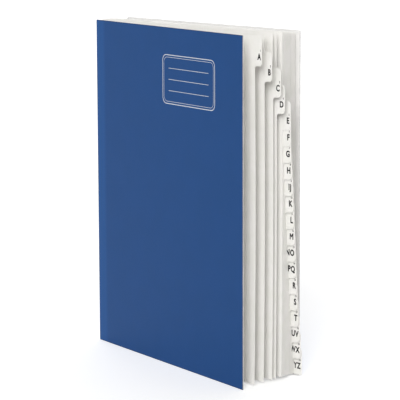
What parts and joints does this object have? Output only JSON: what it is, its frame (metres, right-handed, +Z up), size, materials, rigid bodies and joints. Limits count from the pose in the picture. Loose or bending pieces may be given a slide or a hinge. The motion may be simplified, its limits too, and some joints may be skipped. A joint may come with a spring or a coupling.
{
  "type": "alphabetical desk sorter",
  "caption": "Desk sorter with two hinged board covers, a pleated spine gusset and stepped alphabetical tab dividers fanned open, for sorting letter-size papers.",
  "frame": {"origin": "on the ground, under the middle of the whole sorter as it stands fanned open", "axes": "+Z up along the spine, +X from the spine to the fore-edge with the tabs, -Y out of the front cover"},
  "size_m": [0.271, 0.0732, 0.305],
  "materials": {
    "cover_board": "satin laminated board",
    "gusset": "matt spunbond sheet",
    "index_card": "smooth matt card"
  },
  "bodies": {
    "pages": {"spine_gusset": "gusset", "divider_A": "index_card", "divider_B": "index_card", "divider_C": "index_card", "divider_D": "index_card", "divider_E": "index_card", "divider_F": "index_card", "divider_G": "index_card", "divider_H": "index_card", "divider_IJ": "index_card", "divider_K": "index_card", "divider_L": "index_card", "divider_M": "index_card", "divider_NO": "index_card", "divider_PQ": "index_card", "divider_R": "index_card", "divider_S": "index_card", "divider_T": "index_card", "divider_UV": "index_card", "divider_WX": "index_card", "divider_YZ": "index_card"},
    "front_cover": {"front_cover": "cover_board", "front_gusset_flap": "gusset"},
    "back_cover": {"back_cover": "cover_board", "back_gusset_flap": "gusset"}
  },
  "joints": [
    {"name": "front_cover_hinge", "type": "hinge", "parent": "pages", "child": "front_cover", "pos_m": [-0.1109, -0.02225, 0], "axis": [0, 0, -1], "range_deg": [-2.5, 176]},
    {"name": "back_cover_hinge", "type": "hinge", "parent": "pages", "child": "back_cover", "pos_m": [-0.1234, 0.02225, 0], "axis": [0, 0, 1], "range_deg": [0, 176]}
  ]
}
